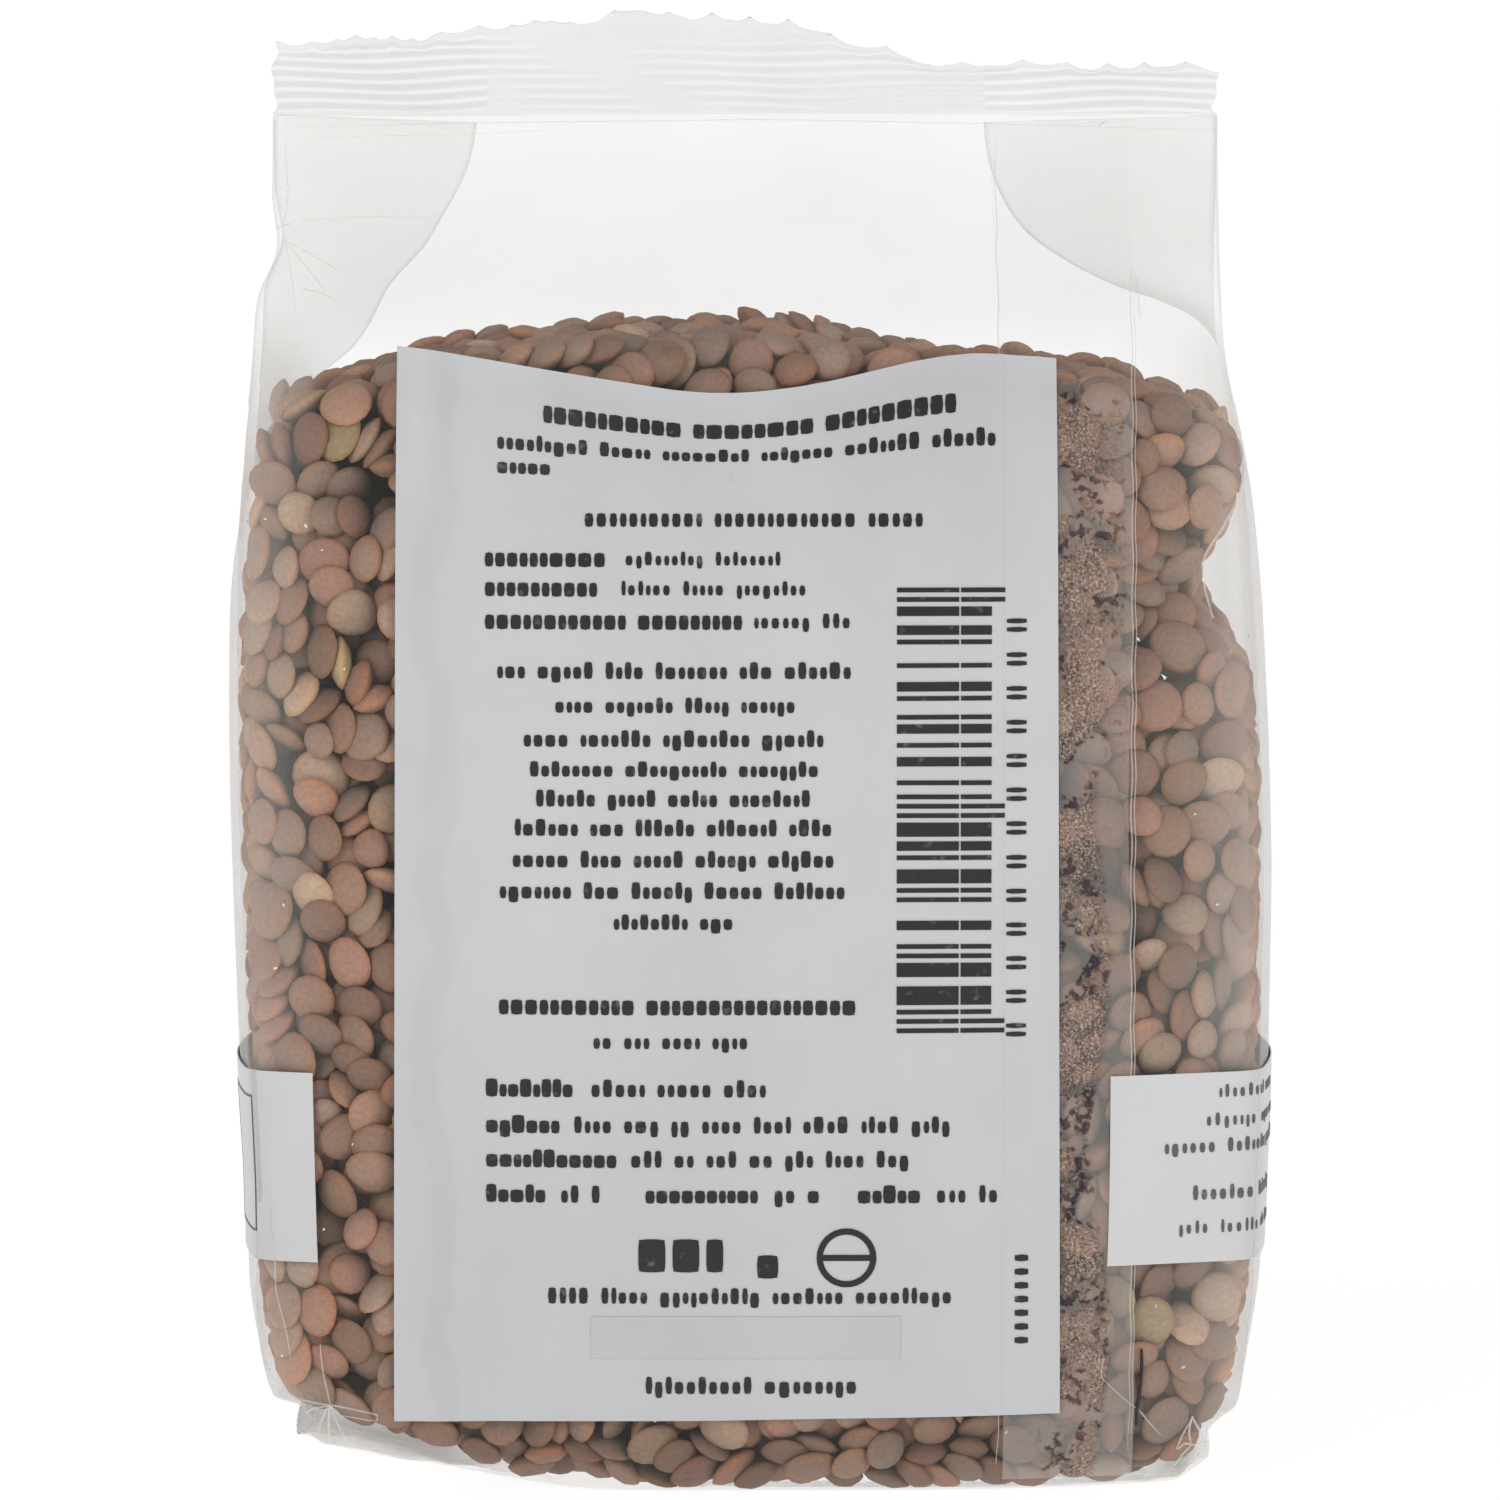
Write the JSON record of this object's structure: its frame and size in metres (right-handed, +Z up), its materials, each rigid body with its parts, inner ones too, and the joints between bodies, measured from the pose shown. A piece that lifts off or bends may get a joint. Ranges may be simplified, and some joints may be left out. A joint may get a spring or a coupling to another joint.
{
  "type": "bag of lentils",
  "caption": "Clear side-gusset film bag of dry brown lentils, heat-sealed flat along the top, standing on its folded base, with a long back label and a band label round the front.",
  "frame": {"origin": "on the floor under the middle of the bag's bounding box", "axes": "+Z up towards the top seal, +X to the right when facing the panel with the long label, -Y out of that panel"},
  "size_m": [0.1048, 0.0498, 0.1462],
  "materials": {
    "film_and_lentils": "glossy clear film over matte brown lentils",
    "label": "satin pale grey label under a thin film"
  },
  "bodies": {
    "root": {"bag": "film_and_lentils", "back_label": "label", "band_label": "label"}
  },
  "joints": []
}
